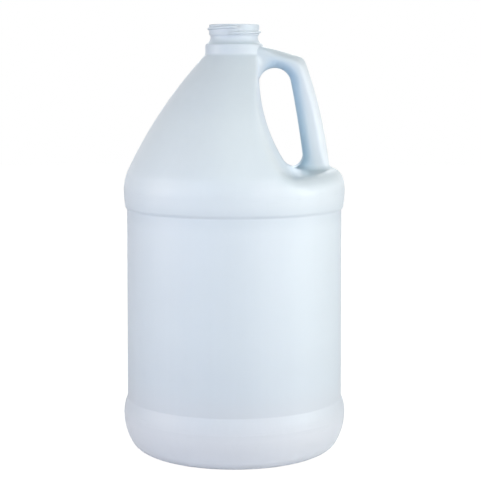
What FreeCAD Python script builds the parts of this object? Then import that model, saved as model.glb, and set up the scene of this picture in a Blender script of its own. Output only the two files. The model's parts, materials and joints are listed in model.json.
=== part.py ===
"""Round one-gallon bottle, blow-moulded in one piece with a hollow grip handle.

Origin at the middle of the base, +Z up to the mouth, the handle on +X.  The mould parts on the plane
y = 0, so each half is built against that plane (y <= 0) and mirrored.  Millimetres throughout.
"""
import FreeCAD, Part
import math
import os
import Sketcher
from FreeCAD import Placement, Rotation, Vector

# Driving dimensions: name, value, what it is.
SIZES = [
    ("overall_height", 303.0, "standing face to rim"),
    ("wall_thickness", 0.9, "blown wall"),
    ("parting_draft", 4.0, "degrees, both ways from the parting plane, in the grip opening"),
    # foot and panel
    ("foot_dia", 159.4, "widest part of the foot ring"),
    ("foot_height", 26.5, "height of that widest part"),
    ("foot_roll_radius", 28.0, "roll of the foot ring above its widest part"),
    ("foot_side_radius", 40.0, "roll of the foot ring below its widest part"),
    ("heel_radius", 13.5, "heel, down to the standing face"),
    ("standing_width", 7.1, "flat ring that the bottle stands on, heel to push-up"),
    ("punt_height", 6.0, "push-up of the base"),
    ("punt_slope", 45.0, "degrees, side of the push-up"),
    ("panel_foot_recess", 2.6, "foot ring's widest part in to the panel, where they meet"),
    ("panel_top_recess", 2.15, "shoulder ring's widest part in to the panel, where they meet"),
    ("panel_fillet", 1.8, "inner corner at both ends of the panel"),
    # shoulder ring and dome
    ("ring_dia", 157.0, "widest part of the shoulder ring"),
    ("ring_drop", 116.0, "rim to that widest part"),
    ("ring_under_radius", 76.0, "shoulder ring below its widest part"),
    ("ring_lip_drop", 11.0, "ring's widest part down to the middle of the round at its lower edge"),
    ("ring_lip_round", 2.5, "that round"),
    ("ring_over_radius", 34.0, "shoulder ring above its widest part"),
    ("dome_radius", 324.0, "long curve from the shoulder up to the collar"),
    # neck, measured down from the rim
    ("collar_dia", 40.6, "plain collar under the neck finish"),
    ("collar_drop", 14.6, "rim to the top of the collar"),
    ("collar_height", 6.4, "plain collar"),
    ("collar_foot_fillet", 3.0, "inner corner between collar and dome"),
    ("collar_edge", 0.4, "step in at the top edge of the collar"),
    ("waist_dia", 33.4, "narrowest part, between collar and thread band"),
    ("waist_drop", 8.8, "rim to the narrowest part"),
    ("waist_radius", 5.5, "sweep from the waist out to the collar"),
    ("band_dia", 35.2, "thread band, E of a 38-400 finish"),
    ("band_height", 7.1, "thread band"),
    ("rim_round", 0.5, "outer corner of the rim"),
    ("bore_dia", 30.2, "bore of the neck"),
    ("bore_length", 14.0, "straight part of the bore"),
    # thread
    ("thread_dia", 37.5, "thread crest, T of a 38-400 finish"),
    ("thread_pitch", 4.233, "six turns to the inch"),
    ("thread_turns", 1.08, "length of the thread"),
    ("thread_start_angle", -75.0, "degrees from +X to the upper end of the thread"),
    ("thread_start_drop", 1.85, "rim to the middle of the thread at its upper end"),
    ("thread_foot_width", 2.3, "thread at its foot"),
    ("thread_crest_width", 0.9, "thread at its crest"),
    # grip opening
    ("opening_wall", 17.45, "axis to the upright wall of the opening, on the parting plane"),
    ("opening_bend_drop", 34.5, "rim to where that wall starts to sweep outwards"),
    ("opening_sweep_radius", 114.0, "sweep of the wall"),
    ("opening_corner_radius", 11.5, "corner between wall and floor"),
    ("opening_floor_rise", 16.1, "shoulder ring's widest part to the floor, on the parting plane"),
    ("roll_top_radius", 3.0, "rolled edge of the opening at its top"),
    ("roll_floor_radius", 12.0, "rolled edge of the opening at its floor"),
    # handle
    ("grip_depth", 26.0, "handle across the parting plane"),
    ("grip_draft", 2.0, "degrees, both ways from the parting plane"),
    ("grip_round", 5.2, "long edges of the handle"),
    ("beam_slope", 15.4, "degrees, top of the handle below level"),
    ("beam_step", 0.65, "collar's top edge down to the handle's top"),
    ("beam_thickness", 12.2, "arm between collar and knuckle"),
    ("finger_radius", 11.65, "top of the finger hole"),
    ("finger_offset", 11.15, "opening's wall to the middle of that round"),
    ("knuckle_radius", 8.2, "outer corner of the handle"),
    ("flank_radius", 324.0, "outer side of the grip"),
    ("flank_top_reach", 50.5, "axis to the flank, level with knuckle_drop"),
    ("knuckle_drop", 27.0, "rim to where flank_top_reach is measured"),
    ("flank_setback", 11.0, "shoulder ring's edge in to the flank, at the floor"),
    ("palm_radius", 800.0, "inner side of the grip"),
    ("grip_foot_thickness", 17.7, "grip along the floor, but for the palm's sweep"),
    ("palm_foot_radius", 8.5, "sweep of the palm side into the floor"),
    ("arm_root_radius", 4.5, "inner corner between the arm and the wall of the opening"),
    ("collar_root_radius", 1.5, "inner corner between the arm and the collar"),
    ("grip_foot_radius", 4.0, "inner corner between the grip and the floor"),
]

GRIP_BURY = 14.0         # the grip's blank runs this far below the floor, inside the shoulder
ARM_END = 8.0            # the arm's blank starts this far from the axis, inside the neck
ARM_TUCK = 6.0           # and ends this far below the middle of the finger round
OPENING_REACH = 120.0    # the opening's outline ends this far out, clear of the shoulder
OPENING_DEPTH = 100.0    # and this far from the parting plane
OPENING_COVER = 3.0      # its ceiling ends this far inside the sides of the arm
GRIP_ROUND_SHARE = 0.44  # of the arm's thickness: two long edges leave a flat between them
STEP_BLEND = 0.6         # of the step from the collar's top edge down to the arm
THREAD_BURY = 0.6        # the thread's ridge starts this far inside the band
RUN_OUT_BURY = 0.05      # and its ends run out this far inside it
SKIN = 1e-3              # a point this near a surface lies on it


class Sizes:
    """The spreadsheet of driving dimensions, and each of them as an attribute."""

    def __init__(self, doc):
        self.sheet = doc.addObject("Spreadsheet::Sheet", "sizes")
        for row, (name, value, meaning) in enumerate(SIZES, start=1):
            self.sheet.set(f"A{row}", name)
            self.sheet.set(f"B{row}", str(value))
            self.sheet.set(f"C{row}", meaning)
            self.sheet.setAlias(f"B{row}", name)
        doc.recompute()

    def __getattr__(self, name):
        return float(getattr(self.sheet, name))


def polar(centre, radius, angle):
    """The point at an angle (radians) on a circle."""
    return (centre[0] + radius * math.cos(angle), centre[1] + radius * math.sin(angle))


def bearing(centre, point):
    """The angle (radians) at which a point is seen from a centre."""
    return math.atan2(point[1] - centre[1], point[0] - centre[0])


def meet(centre_a, radius_a, centre_b, radius_b):
    """Where two circles cross, on the left of the way from a to b."""
    run, rise = centre_b[0] - centre_a[0], centre_b[1] - centre_a[1]
    gap = math.hypot(run, rise)
    along = (radius_a ** 2 - radius_b ** 2 + gap ** 2) / (2 * gap)
    aside = math.sqrt(radius_a ** 2 - along ** 2)
    return (centre_a[0] + (along * run - aside * rise) / gap,
            centre_a[1] + (along * rise + aside * run) / gap)


class Outline:
    """A closed outline of straight lines and arcs in the parting plane, as (x, z) points."""

    def __init__(self, start):
        self.start = start
        self.at = start
        self.pieces = []

    def line(self, end):
        self.pieces.append((Part.LineSegment(Vector(*self.at), Vector(*end)), 1, None))
        self.at = end
        return self

    def arc(self, centre, radius, end, rule):
        """Goes the short way round; rule is the expression that the radius is bound to."""
        begin = bearing(centre, self.at)
        turn = math.remainder(bearing(centre, end) - begin, 2 * math.pi)
        low, high = (begin, begin + turn) if turn > 0 else (begin + turn, begin)
        circle = Part.Circle(Vector(*centre), Vector(0, 0, 1), radius)
        self.pieces.append((Part.ArcOfCircle(circle, low, high), 1 if turn > 0 else 2, rule))
        self.at = end
        return self

    def draw(self, body, name):
        """Closes the outline and draws it as a sketch on the body's XZ plane."""
        self.line(self.start)
        sketch = body.newObject("Sketcher::SketchObject", name)
        plane = next(o for o in body.Origin.OriginFeatures if o.Role == "XZ_Plane")
        sketch.AttachmentSupport = (plane, [""])
        sketch.MapMode = "FlatFace"
        sketch.addGeometry([piece for piece, _, _ in self.pieces], False)
        count = len(self.pieces)
        for index, (_, first, _) in enumerate(self.pieces):
            following = (index + 1) % count
            joint = (index, 3 - first, following, self.pieces[following][1])
            sketch.addConstraint(Sketcher.Constraint("Coincident", *joint))
        for index, (piece, _, rule) in enumerate(self.pieces):
            if rule:
                number = sketch.addConstraint(Sketcher.Constraint("Radius", index, piece.Radius))
                sketch.setExpression(f"Constraints[{number}]", rule)
        return sketch


class Bottle:
    """Builds the outer form and the cavity from the same outlines, the cavity one wall smaller."""

    def __init__(self, doc):
        self.doc = doc
        self.size = Sizes(doc)

    # ---- places that the outlines share ------------------------------------------------------

    def collar_foot(self):
        size = self.size
        return size.overall_height - size.collar_drop - size.collar_height

    def ring_height(self):
        return self.size.overall_height - self.size.ring_drop

    def dome_centre(self):
        """The dome runs tangent out of the shoulder ring and ends at the collar's foot."""
        size = self.size
        ring = (size.ring_dia / 2 - size.ring_over_radius, self.ring_height())
        return meet(ring, size.dome_radius - size.ring_over_radius,
                    (size.collar_dia / 2, self.collar_foot()), size.dome_radius)

    def floor(self):
        return self.ring_height() + self.size.opening_floor_rise

    def lip(self):
        """Middle of the round at the shoulder ring's lower edge, tangent to the ring from inside."""
        size = self.size
        reach = size.ring_under_radius - size.ring_lip_round
        across = math.sqrt(reach ** 2 - size.ring_lip_drop ** 2)
        return (size.ring_dia / 2 - size.ring_under_radius + across, self.ring_height() - size.ring_lip_drop)

    def heel_centre(self):
        """The heel runs tangent out of the foot ring."""
        size = self.size
        reach = size.foot_side_radius - size.heel_radius
        across = math.sqrt(reach ** 2 - (size.foot_height - size.heel_radius) ** 2)
        return (size.foot_dia / 2 - size.foot_side_radius + across, size.heel_radius)

    def beam_top(self, reach):
        """Height of the handle's straight top at a distance from the axis."""
        size = self.size
        start = size.overall_height - size.collar_drop - size.beam_step
        return start - (reach - size.collar_dia / 2) * math.tan(math.radians(size.beam_slope))

    # ---- outlines ----------------------------------------------------------------------------

    def barrel(self, inset):
        """Half section from the middle of the base up to the collar, moved in by the inset."""
        size = self.size
        wall = "sizes.wall_thickness" if inset else "0"
        heel = self.heel_centre()
        side = (size.foot_dia / 2 - size.foot_side_radius, size.foot_height)
        roll = (size.foot_dia / 2 - size.foot_roll_radius, size.foot_height)
        under = (size.ring_dia / 2 - size.ring_under_radius, self.ring_height())
        over = (size.ring_dia / 2 - size.ring_over_radius, self.ring_height())
        dome = self.dome_centre()
        slope = math.radians(size.punt_slope)
        punt_foot = heel[0] - size.standing_width
        punt = punt_foot - size.punt_height / math.tan(slope) + inset * math.tan(slope / 2)

        section = Outline((0, size.punt_height + inset))
        section.line((punt, size.punt_height + inset))
        section.line((punt + size.punt_height / math.tan(slope), inset))
        section.line((heel[0], inset))
        radius = size.heel_radius - inset
        section.arc(heel, radius, polar(heel, radius, bearing(side, heel)), f"sizes.heel_radius - {wall}")
        radius = size.foot_side_radius - inset
        section.arc(side, radius, polar(side, radius, 0), f"sizes.foot_side_radius - {wall}")
        radius = size.foot_roll_radius - inset
        angle = math.acos(1 - size.panel_foot_recess / radius)
        section.arc(roll, radius, polar(roll, radius, angle), f"sizes.foot_roll_radius - {wall}")
        lip = self.lip()
        radius = size.ring_lip_round - inset
        panel = size.ring_dia / 2 - size.panel_top_recess - inset
        section.line(polar(lip, radius, -math.acos((panel - lip[0]) / radius)))
        section.arc(lip, radius, polar(lip, radius, bearing(under, lip)), f"sizes.ring_lip_round - {wall}")
        radius = size.ring_under_radius - inset
        section.arc(under, radius, polar(under, radius, 0), f"sizes.ring_under_radius - {wall}")
        radius = size.ring_over_radius - inset
        section.arc(over, radius, polar(over, radius, bearing(dome, over)),
                    f"sizes.ring_over_radius - {wall}")
        fillet = size.collar_foot_fillet
        across = size.collar_dia / 2 + fillet
        above = dome[1] + math.sqrt((size.dome_radius + fillet) ** 2 - (across - dome[0]) ** 2)
        radius = size.dome_radius - inset
        section.arc(dome, radius, polar(dome, radius, bearing(dome, (across, above))),
                    f"sizes.dome_radius - {wall}")
        section.arc((across, above), fillet + inset, (size.collar_dia / 2 - inset, above),
                    f"sizes.collar_foot_fillet + {wall}")
        return section

    def outer_section(self):
        """The barrel closed by the outside of the neck."""
        size = self.size
        rim = size.overall_height
        collar = size.collar_dia / 2
        waist = (size.waist_dia / 2 + size.waist_radius, rim - size.waist_drop)
        edge = collar - size.collar_edge
        angle = math.acos((waist[0] - edge) / size.waist_radius)
        section = self.barrel(0)
        section.line((collar, rim - size.collar_drop))
        section.line((edge, waist[1] - size.waist_radius * math.sin(angle)))
        section.arc(waist, size.waist_radius, (size.waist_dia / 2, waist[1]), "sizes.waist_radius")
        section.line((size.band_dia / 2, rim - size.band_height))
        section.line((size.band_dia / 2, rim - size.rim_round))
        section.arc((size.band_dia / 2 - size.rim_round, rim - size.rim_round), size.rim_round,
                    (size.band_dia / 2 - size.rim_round, rim), "sizes.rim_round")
        section.line((0, rim))
        return section

    def cavity_section(self):
        """The barrel one wall smaller, closed by the bore, which runs out above the rim."""
        size = self.size
        inside = size.collar_dia / 2 - size.wall_thickness
        bore = size.bore_dia / 2
        bore_foot = size.overall_height - size.bore_length
        section = self.barrel(size.wall_thickness)
        section.line((inside, bore_foot - (inside - bore)))
        section.line((bore, bore_foot))
        section.line((bore, size.overall_height + size.bore_length))
        section.line((0, size.overall_height + size.bore_length))
        return section

    def opening(self, inset):
        """The J of the grip opening: upright wall, sweep, corner and floor.

        It ends under the collar, inside the root of the handle, where the dome is still narrower
        than the handle is deep.
        """
        size = self.size
        wall = "sizes.wall_thickness" if inset else "0"
        upright = size.opening_wall - inset
        across = math.hypot(upright, size.grip_depth / 2 - inset - OPENING_COVER)
        dome = self.dome_centre()
        ceiling = dome[1] + math.sqrt((size.dome_radius - inset) ** 2 - (across - dome[0]) ** 2)
        sweep = (size.opening_wall + size.opening_sweep_radius,
                 size.overall_height - size.opening_bend_drop)
        height = self.floor() + size.opening_corner_radius
        reach = size.opening_sweep_radius - size.opening_corner_radius
        corner = (sweep[0] - math.sqrt(reach ** 2 - (sweep[1] - height) ** 2), height)
        outline = Outline((OPENING_REACH, ceiling))
        outline.line((upright, ceiling))
        outline.line((upright, sweep[1]))
        radius = size.opening_sweep_radius + inset
        outline.arc(sweep, radius, polar(sweep, radius, bearing(sweep, corner)),
                    f"sizes.opening_sweep_radius + {wall}")
        outline.arc(corner, size.opening_corner_radius + inset, (corner[0], self.floor() - inset),
                    f"sizes.opening_corner_radius + {wall}")
        outline.line((OPENING_REACH, self.floor() - inset))
        return outline

    def handle(self, inset):
        """Arm, knuckle and grip as one hook, moved in by the inset."""
        size = self.size
        wall = "sizes.wall_thickness" if inset else "0"
        slope = math.radians(size.beam_slope)
        foot = self.floor() - GRIP_BURY
        flank_top = (size.flank_top_reach, size.overall_height - size.knuckle_drop)
        flank_foot = (size.ring_dia / 2 - size.flank_setback, self.floor())
        flank = meet(flank_foot, size.flank_radius, flank_top, size.flank_radius)
        finger_x = size.opening_wall + size.finger_offset
        finger = (finger_x, self.beam_top(finger_x) - size.beam_thickness / math.cos(slope)
                  - size.finger_radius)
        palm_foot = (flank_foot[0] - size.grip_foot_thickness, self.floor())
        palm = meet(palm_foot, size.palm_radius, finger, size.palm_radius - size.finger_radius)
        # the knuckle's circle touches the straight top and the flank from inside
        top_normal = (math.sin(slope), math.cos(slope))
        depth = (flank[0] * top_normal[0] + flank[1] * top_normal[1]
                 - self.beam_top(0) * top_normal[1] + size.knuckle_radius)
        reach = size.flank_radius - size.knuckle_radius
        ahead = math.sqrt(reach ** 2 - depth ** 2)
        knuckle = (flank[0] - depth * top_normal[0] + ahead * top_normal[1],
                   flank[1] - depth * top_normal[1] - ahead * top_normal[0])

        outline = Outline((ARM_END, self.beam_top(ARM_END) - inset / math.cos(slope)))
        radius = size.knuckle_radius - inset
        outline.line(polar(knuckle, radius, math.pi / 2 - slope))
        outline.arc(knuckle, radius, polar(knuckle, radius, bearing(flank, knuckle)),
                    f"sizes.knuckle_radius - {wall}")
        radius = size.flank_radius - inset
        outline.arc(flank, radius, (flank[0] + math.sqrt(radius ** 2 - (foot - flank[1]) ** 2), foot),
                    f"sizes.flank_radius - {wall}")
        sweep_reach = size.palm_radius - size.palm_foot_radius
        sweep_height = self.floor() + size.palm_foot_radius
        sweep = (palm[0] + math.sqrt(sweep_reach ** 2 - (sweep_height - palm[1]) ** 2), sweep_height)
        radius = size.palm_foot_radius + inset
        outline.line((sweep[0], foot))
        outline.line((sweep[0], sweep_height - radius))
        outline.arc(sweep, radius, polar(sweep, radius, bearing(palm, sweep)),
                    f"sizes.palm_foot_radius + {wall}")
        radius = size.palm_radius + inset
        outline.arc(palm, radius, polar(palm, radius, bearing(palm, finger)),
                    f"sizes.palm_radius + {wall}")
        radius = size.finger_radius + inset
        outline.arc(finger, radius, (finger[0], finger[1] + radius), f"sizes.finger_radius + {wall}")
        outline.arc(finger, radius, (finger[0] - radius, finger[1]), f"sizes.finger_radius + {wall}")
        outline.line((finger[0] - radius, finger[1] - ARM_TUCK))
        outline.line((ARM_END, finger[1] - ARM_TUCK))
        return outline

    # ---- solids ------------------------------------------------------------------------------

    def blank(self, name, section, inset):
        """Half turn of a section, corners rounded, less the drafted grip opening."""
        wall = "sizes.wall_thickness" if inset else "0"
        body = self.doc.addObject("PartDesign::Body", f"{name}_blank")
        turned = body.newObject("PartDesign::Revolution", f"{name}_turned")
        turned.Profile = section.draw(body, f"{name}_section")
        turned.ReferenceAxis = (turned.Profile[0], ["V_Axis"])
        turned.Angle = 180
        turned.Reversed = True
        self.doc.recompute()
        corners = [number for number, edge in off_plane_edges(turned.Shape)
                   if self.is_barrel_corner(middle(edge))]
        eased = body.newObject("PartDesign::Fillet", f"{name}_corners")
        eased.Base = (turned, [f"Edge{number}" for number in corners])
        eased.setExpression("Radius", f"sizes.panel_fillet + {wall}")
        self.doc.recompute()
        skin = eased.Shape.copy()
        outline = self.opening(inset)
        opened = body.newObject("PartDesign::Pocket", f"{name}_opening")
        opened.Profile = outline.draw(body, f"{name}_opening_outline")
        opened.Length = OPENING_DEPTH
        opened.Reversed = True
        opened.setExpression("TaperAngle", "sizes.parting_draft")
        self.doc.recompute()
        if opened.Shape.Volume > skin.Volume - SKIN:
            raise RuntimeError(f"{name}_opening cuts nothing")
        return self.rolled(f"{name}_rolled", body, skin, outline.start[1], inset)

    def is_barrel_corner(self, point):
        """True for the half circles at both ends of the panel and round the push-up."""
        size = self.size
        at_panel = size.foot_height + SKIN < point.z < self.lip()[1] - size.ring_lip_round / 2
        at_punt = (point.z < size.punt_height + size.wall_thickness + SKIN
                   and math.hypot(point.x, point.y) < self.heel_centre()[0] - SKIN)
        return at_panel or at_punt

    def rolled(self, name, body, skin, ceiling, inset):
        """Rolls the edge between the opening and the skin, tight at the top, wide at the floor."""
        size = self.size
        lips = [(number, edge) for number, edge in off_plane_edges(body.Shape)
                if edge.BoundBox.ZMin < ceiling - SKIN
                and on_any(middle(edge), skin.Faces) and not on_any(middle(edge), skin.Edges)]

        def roll(point):
            share = min(max((ceiling - point.z) / (ceiling - self.floor()), 0), 1)
            ease = share * share * (3 - 2 * share)
            return size.roll_top_radius * (1 - ease) + size.roll_floor_radius * ease - inset

        return self.rounded(name, body, lips, roll)

    def rounded(self, name, base, edges, radius_at):
        """Rounds edges with a radius that follows the place of their ends."""
        fillet = self.doc.addObject("Part::Fillet", name)
        fillet.Base = base
        fillet.Edges = [(number, radius_at(edge.Vertexes[0].Point), radius_at(edge.Vertexes[-1].Point))
                        for number, edge in edges]
        self.doc.recompute()
        return fillet

    def grip(self, name, inset):
        """Half of the handle: the hook drawn out from the parting plane, long edges rounded."""
        size = self.size
        wall = "sizes.wall_thickness" if inset else "0"
        body = self.doc.addObject("PartDesign::Body", f"{name}_grip")
        hook = body.newObject("PartDesign::Pad", f"{name}_hook")
        hook.Profile = self.handle(inset).draw(body, f"{name}_hook_outline")
        hook.setExpression("Length", f"sizes.grip_depth / 2 - {wall}")
        hook.setExpression("TaperAngle", "-sizes.grip_draft")
        self.doc.recompute()
        side = inset - size.grip_depth / 2
        edges = [number for number, edge in off_plane_edges(hook.Shape)
                 if abs(middle(edge).y - side) < SKIN
                 and edge.BoundBox.XMax > size.opening_wall
                 and edge.BoundBox.ZMax > self.floor() + SKIN]
        long_edges = body.newObject("PartDesign::Fillet", f"{name}_grip_edges")
        long_edges.Base = (hook, [f"Edge{number}" for number in edges])
        largest = f"{GRIP_ROUND_SHARE} * sizes.beam_thickness"
        long_edges.setExpression("Radius", f"min(sizes.grip_round; {largest}) - {wall}")
        self.doc.recompute()
        return body

    def joined(self, name, blank, grip):
        """Blank and grip in one piece."""
        joined = self.doc.addObject("Part::Fuse", f"{name}_joined")
        joined.Base = blank
        joined.Tool = grip
        self.doc.recompute()
        return joined

    def outer_half(self):
        """The outer form, with the handle blended into collar, opening and floor."""
        blank = self.blank("outer", self.outer_section(), 0)
        grip = self.grip("outer", 0)
        joined = self.joined("outer", blank, grip)
        seams = [(number, edge) for number, edge in off_plane_edges(joined.Shape)
                 if on_any(middle(edge), blank.Shape.Faces) and on_any(middle(edge), grip.Shape.Faces)]
        return self.rounded("outer_half", joined, seams, self.seam_radius)

    def seam_radius(self, point):
        """Inner corner of the handle at one place of the seam round its two ends."""
        size = self.size
        if point.z < self.floor() + size.finger_radius:
            return size.grip_foot_radius
        if point.z > self.beam_top(size.collar_dia / 2) - SKIN:
            return size.beam_step * STEP_BLEND
        if point.z > self.collar_foot() - SKIN:
            return size.collar_root_radius
        return size.arm_root_radius

    def cavity_half(self):
        """The same form one wall smaller, open through the bore."""
        inset = self.size.wall_thickness
        blank = self.blank("cavity", self.cavity_section(), inset)
        return self.joined("cavity", blank, self.grip("cavity", inset))

    def thread(self):
        """One ridge, a little over a turn, right-handed, run out flush at both ends."""
        size = self.size
        band = size.band_dia / 2
        crest = size.thread_dia / 2
        upper = size.overall_height - size.thread_start_drop
        lower = upper - size.thread_pitch * size.thread_turns
        root = size.thread_foot_width / 2 + THREAD_BURY
        outline = Outline((band - THREAD_BURY, lower - root))
        outline.line((band, lower - size.thread_foot_width / 2))
        outline.line((crest, lower - size.thread_crest_width / 2))
        outline.line((crest, lower + size.thread_crest_width / 2))
        outline.line((band, lower + size.thread_foot_width / 2))
        outline.line((band - THREAD_BURY, lower + root))
        body = self.doc.addObject("PartDesign::Body", "thread_ridge")
        ridge = body.newObject("PartDesign::AdditiveHelix", "thread_helix")
        ridge.Profile = outline.draw(body, "thread_section")
        ridge.ReferenceAxis = (ridge.Profile[0], ["V_Axis"])
        ridge.Mode = "pitch-turns-angle"
        ridge.setExpression("Pitch", "sizes.thread_pitch")
        ridge.setExpression("Turns", "sizes.thread_turns")
        lower_angle = size.thread_start_angle - 360 * size.thread_turns
        body.Placement = Placement(Vector(0, 0, 0), Rotation(Vector(0, 0, 1), lower_angle))
        trimmed = self.run_out("thread_upper", body, size.thread_start_angle, upper)
        return self.run_out("thread_lower", trimmed, lower_angle, lower)

    def run_out(self, name, ridge, angle, height):
        """Cuts one end of the ridge along a plane that touches the band."""
        size = self.size
        band = size.band_dia / 2
        slab = self.doc.addObject("Part::Box", f"{name}_slab")
        slab.Length = band
        slab.Width = 2 * band
        slab.setExpression("Height", "sizes.thread_pitch")
        turn = Rotation(Vector(0, 0, 1), angle)
        corner = Vector(band - RUN_OUT_BURY, -band, height - size.thread_pitch / 2)
        slab.Placement = Placement(turn.multVec(corner), turn)
        cut = self.doc.addObject("Part::Cut", f"{name}_run_out")
        cut.Base = ridge
        cut.Tool = slab
        self.doc.recompute()
        return cut

    def build(self):
        """The finished bottle: the shell of one mould half, mirrored, with the thread on its neck."""
        outer = self.outer_half()
        cavity = self.cavity_half()
        half = self.doc.addObject("Part::Cut", "half_shell")
        half.Base = outer
        half.Tool = cavity
        other = self.doc.addObject("Part::Mirroring", "other_half_shell")
        other.Source = half
        other.Normal = Vector(0, 1, 0)
        bottle = self.doc.addObject("Part::MultiFuse", "bottle_shell")
        bottle.Shapes = [half, other, self.thread()]
        bottle.Refine = True
        bottle.Label = "bottle"
        bottle.Placement = Placement(Vector(0, 0, 0), Rotation())
        self.doc.recompute()
        return bottle


def off_plane_edges(shape):
    """Numbered edges of a shape that don't lie on the parting plane."""
    return [(number, edge) for number, edge in enumerate(shape.Edges, start=1)
            if abs(middle(edge).y) > SKIN]


def middle(edge):
    """The point halfway along an edge."""
    return edge.valueAt((edge.FirstParameter + edge.LastParameter) / 2)


def on_any(point, items):
    """True where a point lies on one of some faces or edges."""
    vertex = Part.Vertex(point)
    return any(item.distToShape(vertex)[0] < SKIN for item in items)


def check(doc, parts):
    """Stops before anything is written if an object failed or a part isn't one sound solid."""
    for item in doc.Objects:
        if {"Invalid", "Error"} & set(item.State):
            raise RuntimeError(f"{item.Name} failed: {item.State}")
    for part in parts:
        shape = part.Shape
        if shape.isNull() or not shape.isValid() or len(shape.Solids) != 1:
            raise RuntimeError(f"{part.Label} is not one valid solid")


def main():
    doc = FreeCAD.newDocument("gallon_bottle")
    parts = [Bottle(doc).build()]
    check(doc, parts)
    os.makedirs("parts", exist_ok=True)
    for part in parts:
        part.Shape.exportStep(f"parts/{part.Label}.step")


main()
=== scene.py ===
"""Looks of a one-gallon blow-moulded bottle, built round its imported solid."""
from __future__ import annotations

import json
import logging
import math
from dataclasses import dataclass, field
from enum import Enum
from typing import Any, Callable

import bpy
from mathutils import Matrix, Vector

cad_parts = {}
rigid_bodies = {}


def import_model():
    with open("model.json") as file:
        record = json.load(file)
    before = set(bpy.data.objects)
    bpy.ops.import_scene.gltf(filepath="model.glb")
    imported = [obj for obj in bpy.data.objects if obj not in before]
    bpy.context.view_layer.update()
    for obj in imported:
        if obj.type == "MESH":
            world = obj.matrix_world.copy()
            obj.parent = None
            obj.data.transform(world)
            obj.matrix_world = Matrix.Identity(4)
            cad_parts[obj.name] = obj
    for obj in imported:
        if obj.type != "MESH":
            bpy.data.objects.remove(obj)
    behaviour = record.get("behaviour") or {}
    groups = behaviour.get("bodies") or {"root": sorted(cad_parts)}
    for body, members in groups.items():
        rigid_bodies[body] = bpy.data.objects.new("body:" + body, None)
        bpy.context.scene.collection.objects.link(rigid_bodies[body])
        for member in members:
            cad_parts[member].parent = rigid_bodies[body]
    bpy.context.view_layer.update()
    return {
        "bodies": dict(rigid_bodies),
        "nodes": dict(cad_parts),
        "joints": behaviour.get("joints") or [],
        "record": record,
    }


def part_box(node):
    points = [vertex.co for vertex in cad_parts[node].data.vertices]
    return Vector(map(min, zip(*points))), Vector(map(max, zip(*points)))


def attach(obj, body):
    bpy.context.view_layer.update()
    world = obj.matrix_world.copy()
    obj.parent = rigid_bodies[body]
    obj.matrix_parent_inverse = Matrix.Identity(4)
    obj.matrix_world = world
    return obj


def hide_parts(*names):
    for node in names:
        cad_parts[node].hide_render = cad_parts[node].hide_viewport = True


LOG = logging.getLogger("gallon_bottle")
MM = 0.001
FINE = 1e-6
NOISE_MIDDLE = 0.5
MIX_LOW, MIX_HIGH, MIX_RESULT = 6, 7, 2  # sockets of a Mix node that mixes colours
Colour = tuple[float, float, float]
Stretch = tuple[float, float]


# ---- shader maths ----------------------------------------------------------------------------


class Value:
    """A socket that carries a number; arithmetic on it adds Math nodes."""

    def __init__(self, graph: Graph, socket: bpy.types.NodeSocket) -> None:
        """Wraps a socket.

        Args:
            graph: the node tree that the socket is in.
            socket: the output that carries the number.
        """
        self.graph = graph
        self.socket = socket

    def maths(self, operation: str, *others: Any) -> Value:
        """Adds one Math node with this value first.

        Args:
            operation: the Math node's operation.
            others: what goes into its other inputs.

        Returns:
            The node's result.
        """
        inputs = dict(enumerate((self, *others)))
        node = self.graph.node("ShaderNodeMath", {"operation": operation}, inputs)
        return Value(self.graph, node.outputs[0])

    def __add__(self, other: Any) -> Value:
        """self + other."""
        return self.maths("ADD", other)

    __radd__ = __add__

    def __mul__(self, other: Any) -> Value:
        """self * other."""
        return self.maths("MULTIPLY", other)

    __rmul__ = __mul__

    def __sub__(self, other: Any) -> Value:
        """self - other."""
        return self.maths("SUBTRACT", other)

    def __rsub__(self, other: Any) -> Value:
        """other - self."""
        return self * -1.0 + other

    def __truediv__(self, other: Any) -> Value:
        """self / other."""
        return self.maths("DIVIDE", other)

    def __abs__(self) -> Value:
        """The value without its sign."""
        return self.maths("ABSOLUTE")

    def positive(self) -> Value:
        """The value, or 0 where it is negative."""
        return self.maths("MAXIMUM", 0.0)

    def either(self, other: Value) -> Value:
        """The larger of two values."""
        return self.maths("MAXIMUM", other)

    def span(self, other: Value) -> Value:
        """The long side of a right-angled triangle with these two short sides."""
        return (self * self + other * other).maths("SQRT")

    def ridge(self, place: float, half_width: float) -> Value:
        """1 where the value is at a place, falling to 0 half a width away."""
        return (1.0 - abs(self - place) / half_width).positive()

    def ramp(self, low: float, high: float) -> Value:
        """Eases from 0 to 1.

        Args:
            low: where it is 0.
            high: where it is 1.

        Returns:
            The eased value.
        """
        node = self.graph.node("ShaderNodeMapRange", {"interpolation_type": "SMOOTHSTEP"},
                               {0: self, 1: low, 2: high, 3: 0.0, 4: 1.0})
        return Value(self.graph, node.outputs[0])


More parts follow.
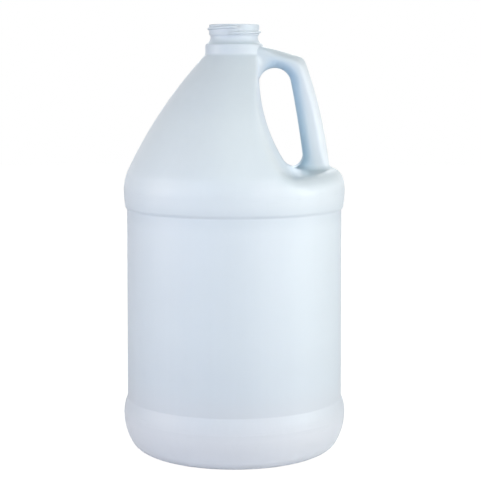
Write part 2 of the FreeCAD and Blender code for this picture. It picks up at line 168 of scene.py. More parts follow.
class Graph:
    """The node tree of one material or of the world."""

    def __init__(self, tree: bpy.types.NodeTree) -> None:
        """Empties the tree."""
        self.tree = tree
        tree.nodes.clear()

    def node(self, kind: str, settings: dict[str, Any] | None = None,
             sockets: dict[Any, Any] | None = None) -> bpy.types.Node:
        """Adds one node.

        Args:
            kind: the node's type.
            settings: its properties, set before its sockets.
            sockets: what goes into its inputs, by name or number: numbers, colours or links.

        Returns:
            The new node.
        """
        node = self.tree.nodes.new(kind)
        for name, value in (settings or {}).items():
            if name == "stops":
                self.set_stops(node.color_ramp, value)
            else:
                setattr(node, name, value)
        for name, value in (sockets or {}).items():
            if isinstance(value, Value):
                value = value.socket
            if isinstance(value, bpy.types.NodeSocket):
                self.tree.links.new(value, node.inputs[name])
            elif isinstance(value, tuple) and len(value) == 3 and node.inputs[name].type == "RGBA":
                node.inputs[name].default_value = (*value, 1.0)
            else:
                node.inputs[name].default_value = value
        return node

    @staticmethod
    def set_stops(ramp: bpy.types.ColorRamp, stops: tuple[tuple[float, Colour], ...]) -> None:
        """Gives a colour ramp its stops.

        Args:
            ramp: the ramp of a Color Ramp node.
            stops: place between 0 and 1, and colour, of each stop.
        """
        ramp.interpolation = "EASE"
        while len(ramp.elements) < len(stops):
            ramp.elements.new(1.0)
        for element, (place, colour) in zip(ramp.elements, stops):
            element.position = place
            element.color = (*colour, 1.0)

    def place(self) -> tuple[Value, Value, Value]:
        """Reads where a surface point lies.

        Returns:
            The three object coordinates, in metres.
        """
        place = self.node("ShaderNodeTexCoord").outputs["Object"]
        split = self.node("ShaderNodeSeparateXYZ", None, {0: place})
        return tuple(Value(self, output) for output in split.outputs)

    def point(self, x: Any, y: Any, z: Any) -> bpy.types.NodeSocket:
        """Three numbers as a vector."""
        return self.node("ShaderNodeCombineXYZ", None, {0: x, 1: y, 2: z}).outputs[0]

    def noise(self, place: Any, scale: float, detail: float = 2.0) -> Value:
        """Noise between 0 and 1.

        Args:
            place: where it is read, as a vector.
            scale: its grain, per unit of that vector.
            detail: how many finer layers it has.

        Returns:
            The noise.
        """
        node = self.node("ShaderNodeTexNoise", None, {"Vector": place, "Scale": scale, "Detail": detail})
        return Value(self, node.outputs[0])

    def blend(self, share: Any, low: Any, high: Any, kind: str = "MIX") -> bpy.types.NodeSocket:
        """Mixes two colours.

        Args:
            share: how much of the second one there is.
            low: the first colour.
            high: the second colour.
            kind: the Mix node's blend type.

        Returns:
            The mixed colour.
        """
        settings = {"data_type": "RGBA", "blend_type": kind}
        node = self.node("ShaderNodeMix", settings, {0: share, MIX_LOW: low, MIX_HIGH: high})
        return node.outputs[MIX_RESULT]

    def stain(self, colour: Any, stain: Any, share: Any = 1.0) -> bpy.types.NodeSocket:
        """Multiplies a colour by another colour or by a number."""
        return self.blend(share, colour, stain, "MULTIPLY")


def new_material(name: str) -> tuple[bpy.types.Material, Graph]:
    """Makes an empty material.

    Args:
        name: its name.

    Returns:
        The material and its graph.
    """
    material = bpy.data.materials.new(name)
    material.use_nodes = True
    return material, Graph(material.node_tree)


# ---- the handle's outline --------------------------------------------------------------------


@dataclass(frozen=True)
class GripOutline:
    """Handle and grip opening in the parting plane, as the solid has them: (x, z) in millimetres."""

    finger: tuple[float, float] = (28.6, 261.2)
    finger_radius: float = 11.65
    palm_lean: float = 0.164
    top: tuple[float, float] = (20.3, 287.75)
    top_slope: float = math.radians(15.4)
    flank: tuple[float, float] = (-254.42, 166.46)
    flank_radius: float = 324.0
    knuckle_radius: float = 8.2
    wall_sweep: tuple[float, float] = (131.45, 268.5)
    wall_sweep_radius: float = 114.0
    floor: float = 203.1

    def right_of_palm(self, x: float, z: float) -> float:
        """Distance to the right of the middle of the finger round, followed down along the palm."""
        return x - self.finger[0] - self.palm_lean * max(0.0, self.finger[1] - z)

    def from_finger_side(self, x: float, z: float) -> float:
        """Depth into the handle from the side that faces the fingers."""
        return math.hypot(self.right_of_palm(x, z), max(0.0, z - self.finger[1])) - self.finger_radius

    def from_outside(self, x: float, z: float) -> float:
        """Depth into the handle from its top, knuckle or flank, as far as the knuckle's radius.

        Args:
            x: place along the arm.
            z: height.

        Returns:
            The depth in millimetres.
        """
        below_top = ((self.top[1] - z) * math.cos(self.top_slope)
                     - (x - self.top[0]) * math.sin(self.top_slope))
        behind_flank = self.flank_radius - math.hypot(x - self.flank[0], z - self.flank[1])
        beyond = (max(0.0, self.knuckle_radius - depth) for depth in (below_top, behind_flank))
        return self.knuckle_radius - math.hypot(*beyond)


# ---- finishes --------------------------------------------------------------------------------


@dataclass(frozen=True)
class GripPaintedShade:
    """Painted shade round the grip opening: darker on the handle's finger side, on the rolled edge and in the
    floor's corner; lengths in millimetres.
    """

    outline: GripOutline = GripOutline()
    # painted shade on the side of the handle that faces the fingers
    palm: Colour = (0.74, 0.865, 0.95)
    palm_fade: Stretch = (0.0, 10.5)
    palm_foot: Stretch = (197.0, 206.0)
    arm_root: Stretch = (18.0, 26.0)
    right_of_hole: Stretch = (-1.0, 3.0)
    over_hole: Stretch = (2.0, 8.0)
    # painted shade on the opening's rolled edge
    edge: Colour = (0.88, 0.90, 0.91)
    wall_start: Stretch = (-3.0, -1.0)
    wall_fade: Stretch = (1.5, 5.0)
    wall_top: Stretch = (250.0, 266.0)
    wall_foot: Stretch = (0.0, 4.0)
    floor_start: Stretch = (-2.0, 0.0)
    floor_fade: Stretch = (2.0, 12.0)
    floor_left: Stretch = (26.0, 36.0)
    floor_right: Stretch = (66.0, 76.0)
    # painted shade in the corner of the opening's floor
    corner: Colour = (0.73, 0.765, 0.81)
    corner_place: tuple[float, float] = (42.5, 204.0)
    corner_fade: Stretch = (2.0, 8.5)

    def over(self, graph: Graph, colour: bpy.types.NodeSocket, x: Value, z: Value) -> bpy.types.NodeSocket:
        """Paints shade over a colour, darkening it round the grip opening.

        Args:
            graph: the material's graph.
            colour: the colour without the painted shade.
            x: place along the arm of the handle.
            z: height.

        Returns:
            The colour with painted shade.
        """
        painted_shades = ((self.finger_side_shade(x, z), self.palm), (self.rolled_edge_shade(x, z), self.edge),
                 (self.floor_corner_shade(x, z), self.corner))
        for share, shade_colour in painted_shades:
            colour = graph.stain(colour, shade_colour, share)
        return colour

    def finger_side_shade(self, x: Value, z: Value) -> Value:
        """Painted shade on the side of the handle that faces the fingers.

        Args:
            x: place along the arm of the handle.
            z: height.

        Returns:
            1 at that side, easing to 0 across the handle.
        """
        finger_x, finger_z = self.outline.finger
        above = (z - finger_z).positive()
        aside = x - finger_x - (finger_z - z).positive() * self.outline.palm_lean
        depth = aside.span(above) - self.outline.finger_radius
        on_handle = aside.ramp(*self.right_of_hole).either(above.ramp(*self.over_hole))
        off_ends = z.ramp(*self.palm_foot) * x.ramp(*self.arm_root)
        return (1.0 - depth.ramp(*self.palm_fade)) * on_handle * off_ends

    def rolled_edge_shade(self, x: Value, z: Value) -> Value:
        """Painted shade on the rolled edge of the opening, beside its wall and beneath its floor.

        Args:
            x: place along the arm of the handle.
            z: height.

        Returns:
            1 at the edge, easing to 0 on the skin round it.
        """
        sweep_x, sweep_z = self.outline.wall_sweep
        behind_wall = (x - sweep_x).span((sweep_z - z).positive()) - self.outline.wall_sweep_radius
        under_floor = self.outline.floor - z
        beside = (behind_wall.ramp(*self.wall_start) * (1.0 - behind_wall.ramp(*self.wall_fade))
                  * (1.0 - z.ramp(*self.wall_top)) * (1.0 - under_floor.ramp(*self.wall_foot)))
        beneath = (under_floor.ramp(*self.floor_start) * (1.0 - under_floor.ramp(*self.floor_fade))
                   * x.ramp(*self.floor_left) * (1.0 - x.ramp(*self.floor_right)))
        return beside.either(beneath)

    def floor_corner_shade(self, x: Value, z: Value) -> Value:
        """Painted shade: 1 in the corner between the opening's wall and its floor, easing to 0 round it."""
        return 1.0 - (x - self.corner_place[0]).span(z - self.corner_place[1]).ramp(*self.corner_fade)


@dataclass(frozen=True)
class NaturalPolyethylene:
    """Unpigmented high-density polyethylene, satin from a blasted mould; lengths in millimetres."""

    top: float = 303.0
    # colour by height: a tint from lavender at the base to blue higher up, fitted so that it also paints
    # light and shade, such as the lighter heel, the dark band under the shoulder ring at 172 mm and the
    # darker collar
    tint_and_shade_by_height: tuple[tuple[float, Colour], ...] = (
        (0.0, (0.755, 0.800, 0.885)),
        (21.0, (0.735, 0.775, 0.850)),
        (38.0, (0.672, 0.727, 0.805)),
        (60.0, (0.675, 0.750, 0.835)),
        (97.0, (0.700, 0.780, 0.865)),
        (162.0, (0.718, 0.798, 0.883)),
        (172.0, (0.686, 0.766, 0.850)),
        (183.0, (0.728, 0.806, 0.884)),
        (232.0, (0.736, 0.810, 0.882)),
        (251.0, (0.712, 0.785, 0.862)),
        (272.0, (0.690, 0.762, 0.838)),
        (288.0, (0.622, 0.698, 0.776)),
    )
    # painted shade round the grip opening
    grip_painted_shade: GripPaintedShade = GripPaintedShade()
    roughness: float = 0.46
    roughness_cloud: float = 0.05
    cloud_grain: float = 22.0
    cloud_detail: float = 3.0
    cloud_strength: float = 0.018
    streak_width: float = 5.0
    streak_length: float = 260.0
    streak_strength: float = 0.022
    blast_grain: float = 0.45
    blast_depth: float = 0.006
    ripple_width: float = 48.0
    ripple_depth: float = 0.16
    refraction: float = 1.54
    glow_share: float = 0.3
    glow_depth: float = 1.2
    bumpers: tuple[float, float] = (27.0, 187.0)
    bumper_half_width: float = 9.0
    scuff_length: float = 14.0
    scuff_width: float = 0.7
    scuff_rarity: Stretch = (0.6, 0.72)
    scuff_roughness: float = 0.14
    scuff_fade: float = 0.03

    def material(self) -> bpy.types.Material:
        """Builds the material.

        Returns:
            The material.
        """
        material, graph = new_material("natural_polyethylene")
        x, y, z = (axis / MM for axis in graph.place())
        cloud = graph.noise(graph.point(x, y, z), 1 / self.cloud_grain, self.cloud_detail) - NOISE_MIDDLE
        scuffs = self.scuffs(graph, x, y, z)
        shader = graph.node("ShaderNodeBsdfPrincipled", None, {
            "Base Color": self.colour(graph, (x, y, z), cloud, scuffs),
            "Roughness": self.roughness + cloud * self.roughness_cloud + scuffs * self.scuff_roughness,
            "IOR": self.refraction,
            "Subsurface Weight": self.glow_share,
            "Subsurface Scale": self.glow_depth * MM,
            "Subsurface Radius": (1.0, 1.0, 1.0),
            "Normal": self.relief(graph, graph.point(x, y, z)),
        })
        graph.node("ShaderNodeOutputMaterial", None, {"Surface": shader.outputs[0]})
        return material

    def colour(self, graph: Graph, place: tuple[Value, Value, Value], cloud: Value,
               scuffs: Value) -> bpy.types.NodeSocket:
        """The plastic's colour: a tint by height that also paints light and shade, with painted shade round
        the grip opening.

        Args:
            graph: the material's graph.
            place: the object coordinates.
            cloud: faint uneven patches, around 0.
            scuffs: 1 on a rub mark.

        Returns:
            The colour.
        """
        x, y, z = place
        stops = tuple((height / self.top, shade) for height, shade in self.tint_and_shade_by_height)
        colour = graph.node("ShaderNodeValToRGB", {"stops": stops}, {0: z / self.top}).outputs[0]
        drawn = graph.point(x / self.streak_width, y / self.streak_width, z / self.streak_length)
        streaks = graph.noise(drawn, 1.0, self.cloud_detail) - NOISE_MIDDLE
        # paints shade round the grip opening
        colour = self.grip_painted_shade.over(graph, colour, x, z)
        return graph.stain(colour, 1.0 + cloud * self.cloud_strength + streaks * self.streak_strength
                           - scuffs * self.scuff_fade)

    def relief(self, graph: Graph, place: bpy.types.NodeSocket) -> bpy.types.NodeSocket:
        """Fine grain of the blasted mould, and the slow ripple of a blown wall.

        Args:
            graph: the material's graph.
            place: the object coordinates.

        Returns:
            The bumped normal.
        """
        blast = graph.noise(place, 1 / self.blast_grain, detail=1.0)
        ripple = graph.noise(place, 1 / self.ripple_width, detail=1.0)
        height = (blast * self.blast_depth + ripple * self.ripple_depth) * MM
        bump = graph.node("ShaderNodeBump", None, {"Strength": 1.0, "Distance": 1.0, "Height": height})
        return bump.outputs[0]

    def scuffs(self, graph: Graph, x: Value, y: Value, z: Value) -> Value:
        """Short level rub marks where the two wide rings touch other bottles.

        Args:
            graph: the material's graph.
            x: object coordinate.
            y: object coordinate.
            z: object coordinate.

        Returns:
            1 on a mark, 0 off it.
        """
        drawn = graph.point(x / self.scuff_length, y / self.scuff_length, z / self.scuff_width)
        marks = graph.noise(drawn, 1.0).ramp(*self.scuff_rarity)
        low, high = (z.ridge(place, self.bumper_half_width) for place in self.bumpers)
        return marks * (low + high)


# ---- modelling steps -------------------------------------------------------------------------


def select_only(piece: bpy.types.Object) -> None:
    """Makes one object the only selected one.

    Args:
        piece: the object, which also becomes the active one.
    """
    bpy.ops.object.select_all(action="DESELECT")
    piece.select_set(True)
    bpy.context.view_layer.objects.active = piece


def pick(piece: bpy.types.Object, wanted: Callable[[Vector], bool]) -> None:
    """Selects corners of the active piece, and stays in edit mode.

    Args:
        piece: the active object.
        wanted: says of a corner's place whether it is selected.
    """
    bpy.ops.object.mode_set(mode="EDIT")
    bpy.ops.mesh.select_mode(type="VERT")
    bpy.ops.mesh.select_all(action="DESELECT")
    bpy.ops.object.mode_set(mode="OBJECT")
    for vertex in piece.data.vertices:
        vertex.select = wanted(vertex.co)
    bpy.ops.object.mode_set(mode="EDIT")


def lathe(name: str, profile: list[tuple[float, float]], steps: int) -> bpy.types.Object:
    """Draws rings out of one another round the axis.

    Args:
        name: the new object's name.
        profile: radius and height of each ring, in millimetres.
        steps: the number of corners of a ring.

    Returns:
        The open skin.
    """
    (radius, height), *others = profile
    bpy.ops.object.select_all(action="DESELECT")
    bpy.ops.mesh.primitive_circle_add(vertices=steps, radius=radius * MM, location=(0, 0, height * MM))
    skin = bpy.context.object
    skin.name = name
    bpy.ops.object.transform_apply(location=True)
    bpy.ops.object.mode_set(mode="EDIT")
    bpy.ops.mesh.select_all(action="SELECT")
    for wider, higher in others:
        bpy.ops.mesh.extrude_region_move(TRANSFORM_OT_translate={"value": (0, 0, (higher - height) * MM)})
        share = wider / radius
        bpy.ops.transform.resize(value=(share, share, 1), center_override=(0, 0, 0))
        radius, height = wider, higher
    bpy.ops.mesh.select_all(action="SELECT")
    bpy.ops.mesh.normals_make_consistent(inside=False)
    bpy.ops.object.mode_set(mode="OBJECT")
    return skin


def arc(centre: tuple[float, float], radius: float, start: float, end: float,
        count: int) -> list[tuple[float, float]]:
    """Points along an arc of a profile.

    Args:
        centre: radius and height of the arc's middle, in millimetres.
        radius: the arc's own radius.
        start: its first angle, in degrees from the outward direction.
        end: its last angle.
        count: the number of points after the first.

    Returns:
        The points, the first one included.
    """
    angles = [math.radians(start + (end - start) * step / count) for step in range(count + 1)]
    return [(centre[0] + radius * math.cos(angle), centre[1] + radius * math.sin(angle)) for angle in angles]


def ease(value: float, low: float, high: float) -> float:
    """Eases from 0 to 1.

    Args:
        value: the value.
        low: where the result is 0.
        high: where it is 1.

    Returns:
        The eased value.
    """
    share = min(1.0, max(0.0, (value - low) / (high - low)))
    return share * share * (3.0 - 2.0 * share)


class Across(Enum):
    """Which way a plane through the bottle faces."""

    LENGTH = (1.0, 0.0, 0.0)
    DEPTH = (0.0, 1.0, 0.0)
    HEIGHT = (0.0, 0.0, 1.0)


@dataclass(frozen=True)
class MouldLine:
    """A fine raised line where two parts of the mould met, in millimetres."""

    across: Across
    place: float
    half_width: float
    lift: float
    lowest: float = -1.0

    def raise_on(self, piece: bpy.types.Object, outside: Callable[[], None]) -> None:
        """Cuts three loops round the piece and lifts the middle one.

        Args:
            piece: the active object.
            outside: selects the skin that the mould touched, and stays in edit mode.
        """
        facing = Vector(self.across.value)
        for offset in (-self.half_width, self.half_width, 0.0):
            outside()
            bpy.ops.mesh.bisect(plane_co=facing * (self.place + offset) * MM, plane_no=facing, threshold=FINE)
        chosen = {vertex.index for vertex in self.selected(piece) if vertex.co.z > self.lowest * MM}
        bpy.ops.mesh.select_all(action="DESELECT")
        bpy.ops.object.mode_set(mode="OBJECT")
        for vertex in piece.data.vertices:
            vertex.select = vertex.index in chosen
        bpy.ops.object.mode_set(mode="EDIT")
        bpy.ops.transform.shrink_fatten(value=self.lift * MM)
        bpy.ops.object.mode_set(mode="OBJECT")

    @staticmethod
    def selected(piece: bpy.types.Object) -> list[bpy.types.MeshVertex]:
        """The corners that are selected in edit mode."""
        piece.update_from_editmode()
        return [vertex for vertex in piece.data.vertices if vertex.select]


@dataclass(frozen=True)
class GripEasing:
    """Crowns the front and the back of the handle between its long edges, in millimetres."""

    outline: GripOutline = GripOutline()
    reach: float = 7.0
    share: float = 0.3
    along_arm: Stretch = (22.0, 30.0)
    up_grip: Stretch = (205.0, 216.0)
    cuts_across: tuple[float, float, float] = (23.0, 69.0, 1.5)
    cuts_along: tuple[float, float, float] = (206.0, 285.0, 2.0)

    def crown(self, wall: bpy.types.Object) -> None:
        """Cuts the handle finely and draws both skins towards the parting plane near its edges.

        Args:
            wall: the active object.
        """
        pick(wall, lambda corner: self.weight(corner.x / MM, corner.z / MM) > 0)
        bpy.ops.mesh.hide(unselected=True)
        self.cut(Across.LENGTH, *self.cuts_across)
        self.cut(Across.HEIGHT, *self.cuts_along)
        bpy.ops.mesh.reveal()
        bpy.ops.object.mode_set(mode="OBJECT")
        for vertex in wall.data.vertices:
            vertex.co.y *= 1.0 - self.share * self.pull(vertex.co.x / MM, vertex.co.z / MM)

    @staticmethod
    def cut(across: Across, first: float, last: float, step: float) -> None:
        """Bisects what is in sight with a row of planes.

        Args:
            across: which way the planes face.
            first: place of the first one.
            last: how far they go.
            step: the distance from one to the next.
        """
        facing = Vector(across.value)
        for count in range(int((last - first) / step) + 1):
            place = facing * (first + count * step) * MM
            bpy.ops.mesh.select_all(action="SELECT")
            bpy.ops.mesh.bisect(plane_co=place, plane_no=facing, threshold=FINE)

    def pull(self, x: float, z: float) -> float:
        """How far a place is drawn in.

        Args:
            x: place along the arm.
            z: height.

        Returns:
            1 at a long edge of the handle, 0 along its middle and off the handle.
        """
        weight = self.weight(x, z)
        if not weight:
            return 0.0
        depths = (self.outline.from_finger_side(x, z), self.outline.from_outside(x, z))
        nearness = (min(1.0, max(0.0, 1.0 - depth / self.reach)) for depth in depths)
        return weight * min(1.0, sum(near * near for near in nearness))

    def weight(self, x: float, z: float) -> float:
        """Where the handle is eased.

        Args:
            x: place along the arm.
            z: height.

        Returns:
            1 on the handle, easing to 0 towards collar and shoulder, 0 on the body beside the opening.
        """
        if z < self.outline.finger[1] and self.outline.right_of_palm(x, z) < 0:
            return 0.0
        return ease(x, *self.along_arm) * ease(z, *self.up_grip)


# ---- the bottle ------------------------------------------------------------------------------


@dataclass
class NeckFinish:
    """The 38 mm screw finish above the waist's foot, in millimetres; drops are from the rim."""

    rim: float
    waist_radius: float = 16.7
    waist_drop: float = 8.8
    waist_sweep: float = 5.5
    under_radius: float = 16.9
    under_drop: float = 7.65
    band_radius: float = 17.6
    band_drop: float = 7.1
    rim_round: float = 0.5
    bore_radius: float = 15.1
    seam_drop: float = 13.3
    seam_gap: float = 0.5
    ring_corners: int = 144
    sweep_steps: int = 8
    round_steps: int = 4
    thread_radius: float = 18.75
    thread_pitch: float = 4.233
    thread_turns: float = 1.08
    thread_start_angle: float = -75.0
    thread_start_drop: float = 1.85
    thread_foot: float = 1.15
    thread_crest: float = 0.6
    thread_edge: float = 0.22
    thread_bury: float = 0.3
    edge_steps: int = 3
    run_out_bury: float = 0.05
    run_out_angle: float = 22.0
    steps_per_turn: int = 120

    def seam(self) -> float:
        """Height at which the finish joins the wall under it."""
        return self.rim - self.seam_drop

    def skin(self) -> bpy.types.Object:
        """Turns the finish: from the seam up the outside, over the rim and down the bore.

        Returns:
            The open skin.
        """
        waist = (self.waist_radius + self.waist_sweep, self.rim - self.waist_drop)
        start = self.seam() + self.seam_gap
        turn = math.degrees(math.asin((waist[1] - start) / self.waist_sweep))
        lip = (self.band_radius - self.rim_round, self.rim - self.rim_round)
        profile = arc(waist, self.waist_sweep, 180 + turn, 180, self.sweep_steps)
        profile += [(self.under_radius, self.rim - self.under_drop)]
        profile += [(self.band_radius, self.rim - self.band_drop)]
        profile += arc(lip, self.rim_round, 0, 90, self.round_steps)
        profile += [(self.bore_radius, self.rim), (self.bore_radius, start)]
        return lathe("neck_finish", profile, self.ring_corners)

    def ridge(self) -> bpy.types.Object:
        """Makes the thread: its section screwed round the band, run out flush at both ends.

        Returns:
            The closed ridge.
        """
        climb = self.thread_pitch * self.thread_turns
        ridge = self.section(self.rim - self.thread_start_drop - climb)
        corners_of_section = len(ridge.data.vertices)
        screw = ridge.modifiers.new("screw", "SCREW")
        screw.angle = 2 * math.pi * self.thread_turns
        screw.screw_offset = climb * MM
        screw.steps = round(self.steps_per_turn * self.thread_turns)
        screw.render_steps = screw.steps
        bpy.ops.object.modifier_apply(modifier=screw.name)
        self.run_out(ridge, corners_of_section)
        ridge.rotation_euler.z = math.radians(self.thread_start_angle) - 2 * math.pi * self.thread_turns
        bpy.ops.object.transform_apply(rotation=True)
        bpy.ops.object.mode_set(mode="EDIT")
        bpy.ops.mesh.select_all(action="DESELECT")
        bpy.ops.mesh.select_non_manifold()
        bpy.ops.mesh.edge_face_add()
        bpy.ops.mesh.select_all(action="SELECT")
        bpy.ops.mesh.normals_make_consistent(inside=False)
        bpy.ops.object.mode_set(mode="OBJECT")
        return ridge

    def section(self, height: float) -> bpy.types.Object:
        """Draws the thread's section, wide at its foot and rounded at its crest.

        Args:
            height: of the section's middle.

        Returns:
            The section's outline, on the X axis.
        """
        depth = self.thread_radius - self.band_radius + self.thread_bury
        middle = (self.thread_radius - depth / 2) * MM
        bpy.ops.object.select_all(action="DESELECT")
        upright = (math.pi / 2, 0, 0)
        bpy.ops.mesh.primitive_plane_add(size=1, location=(middle, 0, height * MM), rotation=upright)
        section = bpy.context.object
        section.name = "thread"
        section.scale = (depth * MM, 2 * self.thread_foot * MM, 1)
        bpy.ops.object.transform_apply(location=True, rotation=True, scale=True)
        pick(section, lambda corner: corner.x > middle)
        bpy.ops.transform.resize(value=(1, 1, self.thread_crest / self.thread_foot),
                                 center_override=(middle, 0, height * MM))
        bpy.ops.mesh.bevel(offset=self.thread_edge * MM, segments=self.edge_steps, affect="VERTICES")
        bpy.ops.mesh.select_all(action="SELECT")
        bpy.ops.mesh.delete(type="ONLY_FACE")
        bpy.ops.object.mode_set(mode="OBJECT")
        return section

    def run_out(self, ridge: bpy.types.Object, corners_of_section: int) -> None:
        """Sinks both ends of the ridge into the band.

        Args:
            ridge: the screwed section, starting on the X axis.
            corners_of_section: the section's corners, which follow one another step by step.
        """
        last = len(ridge.data.vertices) // corners_of_section - 1
        for vertex in ridge.data.vertices:
            step = vertex.index // corners_of_section
            turned = 360 / self.steps_per_turn * min(step, last - step)
            if turned < self.run_out_angle:
                radius = math.hypot(vertex.co.x, vertex.co.y)
                limit = (self.band_radius - self.run_out_bury) * MM / math.cos(math.radians(turned))
                share = min(1.0, limit / radius)
                vertex.co.x *= share
                vertex.co.y *= share


@dataclass
class Bottle:
    """The blown bottle, one piece: neck, shoulder, grip handle, panel and base."""

    node: str = "bottle"
    slot: str = "natural_hdpe"
    piece: str = "blown_bottle"
    weld: float = 0.002 * MM
    crease: float = math.radians(32)
    mould_lines: tuple[MouldLine, ...] = (
        MouldLine(Across.DEPTH, 0.0, 0.14, 0.06, lowest=0.3),
        MouldLine(Across.HEIGHT, 27.0, 0.2, 0.05),
        MouldLine(Across.HEIGHT, 98.0, 0.2, 0.03),
    )
    easing: GripEasing = field(default_factory=GripEasing)
    finish: NaturalPolyethylene = field(default_factory=NaturalPolyethylene)

    def build(self, frame: dict[str, Any]) -> bpy.types.Object:
        """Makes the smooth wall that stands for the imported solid.


        Returns:
            The finished piece.
        """
        neck = NeckFinish(rim=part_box(self.node)[1][2] / MM)
        wall = self.smooth_copy(frame["nodes"][self.node], neck)
        wall.data.materials.clear()
        wall.data.materials.append(self.finish.material())
        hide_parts(self.node)
        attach(wall, "root")
        LOG.info("%s: %d faces", wall.name, len(wall.data.polygons))
        return wall

    def smooth_copy(self, solid: bpy.types.Object, neck: NeckFinish) -> bpy.types.Object:
        """Copies the solid's loose triangles, merges them and gives them a finer neck.

        Args:
            solid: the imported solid.
            neck: the screw finish.

        Returns:
            The copy.
        """
        wall = bpy.data.objects.new(self.piece, solid.data.copy())
        bpy.context.scene.collection.objects.link(wall)
        select_only(wall)
        bpy.ops.object.mode_set(mode="EDIT")
        bpy.ops.mesh.select_all(action="SELECT")
        bpy.ops.mesh.remove_doubles(threshold=self.weld)
        bpy.ops.mesh.bisect(plane_co=(0, 0, neck.seam() * MM), plane_no=(0, 0, 1), clear_outer=True)
        bpy.ops.object.mode_set(mode="OBJECT")
        self.easing.crown(wall)
        for line in self.mould_lines:
            line.raise_on(wall, lambda: self.outer_skin(wall))
        self.join(wall, neck)
        bpy.ops.object.shade_smooth_by_angle(angle=self.crease)
        smooth = wall.modifiers.new("even_normals", "WEIGHTED_NORMAL")
        smooth.keep_sharp = True
        bpy.ops.object.modifier_apply(modifier=smooth.name)
        return wall

    @staticmethod
    def outer_skin(wall: bpy.types.Object) -> None:
        """Selects the outside of the wall, which is still apart from the inside.

        Args:
            wall: the active object.
        """
        widest = max(vertex.co.x for vertex in wall.data.vertices) - FINE
        pick(wall, lambda corner: corner.x > widest)
        bpy.ops.mesh.select_linked()

    def join(self, wall: bpy.types.Object, neck: NeckFinish) -> None:
        """Joins the finish to the wall, round the outside and round the inside.

        Args:
            wall: the wall, open at the neck's seam.
            neck: the screw finish.
        """
        skin = neck.skin()
        ridge = neck.ridge()
        select_only(wall)
        skin.select_set(True)
        bpy.ops.object.join()
        between = (neck.waist_radius + neck.bore_radius) / 2 * MM
        for outside in (True, False):
            bpy.ops.object.mode_set(mode="EDIT")
            bpy.ops.mesh.select_mode(type="EDGE")
            bpy.ops.mesh.select_all(action="DESELECT")
            bpy.ops.mesh.select_non_manifold()
            bpy.ops.object.mode_set(mode="OBJECT")
            for edge in wall.data.edges:
                first = wall.data.vertices[edge.vertices[0]].co
                edge.select = edge.select and (math.hypot(first.x, first.y) > between) == outside
            bpy.ops.object.mode_set(mode="EDIT")
            bpy.ops.mesh.bridge_edge_loops()
            bpy.ops.object.mode_set(mode="OBJECT")
        ridge.select_set(True)
        bpy.ops.object.join()


# ---- the studio ------------------------------------------------------------------------------


@dataclass(frozen=True)
class Softbox:
    """A square area lamp that faces the bottle."""

    name: str
    azimuth: float
    elevation: float
    power: float
    colour: Colour
    size: float = 0.8
    distance: float = 1.5

    def build(self, target: Vector) -> bpy.types.Object:
        """Hangs the lamp; its azimuth runs from the front towards the handle.

        Args:
            target: what the lamp faces.

        Returns:
            The lamp.
        """
        light = bpy.data.lights.new(self.name, "AREA")
        light.size = self.size
        light.energy = self.power
        light.color = self.colour
        lamp = bpy.data.objects.new(self.name, light)
        turn, lift = math.radians(self.azimuth), math.radians(self.elevation)
        way = Vector((math.sin(turn) * math.cos(lift), -math.cos(turn) * math.cos(lift), math.sin(lift)))
        lamp.location = target + self.distance * way
        lamp.rotation_euler = way.to_track_quat("Z", "Y").to_euler()
        bpy.context.scene.collection.objects.link(lamp)
        return lamp


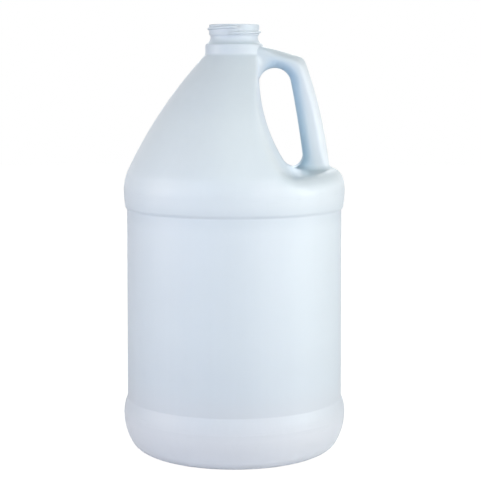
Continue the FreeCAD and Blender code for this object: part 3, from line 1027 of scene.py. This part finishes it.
@dataclass
class Studio:
    """White floor, soft lamps and the camera; lengths in metres, the lens in millimetres."""

    lens: float = 104.4146
    sensor: float = 36.0
    distance: float = 1.0145
    height: float = 0.2727
    pitch: float = math.radians(7.11)
    yaw: float = math.radians(0.25)
    target: Vector = field(default_factory=lambda: Vector((0, 0, 0.15)))
    fill: Colour = (0.80, 0.90, 1.0)
    fill_strength: float = 0.01
    lamps: tuple[Softbox, ...] = (
        Softbox("right_side_softbox", 75, 12, 11.5, (0.95, 1.0, 0.98)),
        Softbox("left_side_softbox", -75, 12, 8.9, (1.0, 0.89, 0.84)),
        Softbox("right_front_softbox", 35, 12, 7.2, (1.0, 0.86, 0.84)),
        Softbox("left_front_softbox", -35, 12, 6.4, (0.66, 0.78, 1.0)),
        Softbox("overhead_softbox", 0, 50, 4.3, (0.87, 1.0, 0.79)),
        Softbox("back_softbox", 180, 30, 9.0, (0.95, 0.98, 1.0)),
    )
    floor_size: float = 6.0
    floor_gap: float = 0.0002
    floor_bounce: float = 0.8
    floor_shown: float = 0.25
    floor_glow: float = 0.94
    glow_reach: tuple[float, float] = (0.1, 0.26)

    def build(self) -> None:
        """Sets up floor, lamps, world and camera."""
        self.floor()
        for lamp in self.lamps:
            lamp.build(self.target)
        self.world()
        self.camera()

    def floor(self) -> None:
        """The white floor, which keeps the bottle's shadow off the camera's view."""
        bpy.ops.object.select_all(action="DESELECT")
        bpy.ops.mesh.primitive_plane_add(size=self.floor_size, location=(0, 0, -self.floor_gap))
        floor = bpy.context.object
        floor.name = "floor"
        material, graph = new_material("white_floor")
        seen = self.seen(graph, "Is Camera Ray", "Is Transmission Ray")
        x, y, _ = graph.place()
        away = x.span(y).ramp(*self.glow_reach)
        glow = (self.floor_glow + away * (1.0 - self.floor_glow)) * seen
        shown = self.floor_bounce + seen * (self.floor_shown - self.floor_bounce)
        diffuse = graph.node("ShaderNodeBsdfDiffuse", None, {"Color": shown})
        white = graph.node("ShaderNodeEmission", None, {"Color": (1.0, 1.0, 1.0), "Strength": glow})
        both = graph.node("ShaderNodeAddShader", None, {0: diffuse.outputs[0], 1: white.outputs[0]})
        graph.node("ShaderNodeOutputMaterial", None, {"Surface": both.outputs[0]})
        floor.data.materials.append(material)

    def world(self) -> None:
        """A faint even fill, behind the white that the camera and reflections see."""
        world = bpy.data.worlds.new("studio")
        bpy.context.scene.world = world
        world.use_nodes = True
        graph = Graph(world.node_tree)
        fill = graph.node("ShaderNodeBackground", None, {"Color": self.fill, "Strength": self.fill_strength})
        white = graph.node("ShaderNodeBackground", None, {"Color": (1.0, 1.0, 1.0), "Strength": 1.0})
        seen = self.seen(graph, "Is Camera Ray", "Is Transmission Ray", "Is Glossy Ray")
        mix = graph.node("ShaderNodeMixShader", None, {0: seen, 1: fill.outputs[0], 2: white.outputs[0]})
        graph.node("ShaderNodeOutputWorld", None, {"Surface": mix.outputs[0]})

    @staticmethod
    def seen(graph: Graph, first: str, *others: str) -> Value:
        """Tells kinds of ray apart.

        Args:
            graph: the material's or the world's graph.
            first: an output of the Light Path node.
            others: more of them.

        Returns:
            1 for the rays that are named, 0 for the rest.
        """
        path = graph.node("ShaderNodeLightPath")
        seen = Value(graph, path.outputs[first])
        for name in others:
            seen = seen.either(Value(graph, path.outputs[name]))
        return seen

    def camera(self) -> None:
        """A long lens, a little above the shoulder."""
        data = bpy.data.cameras.new("camera")
        data.sensor_width = self.sensor
        data.lens = self.lens
        camera = bpy.data.objects.new("camera", data)
        camera.location = (0, -self.distance, self.height)
        camera.rotation_euler = (math.pi / 2 - self.pitch, 0, -self.yaw)
        bpy.context.scene.collection.objects.link(camera)
        bpy.context.scene.camera = camera


def main() -> None:
    """Builds the bottle and the studio."""
    logging.basicConfig(level=logging.INFO, format="%(name)s: %(message)s")
    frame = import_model()
    Bottle().build(frame)
    Studio().build()
    bpy.context.scene.view_settings.view_transform = "Standard"


if __name__ == "__main__":
    main()
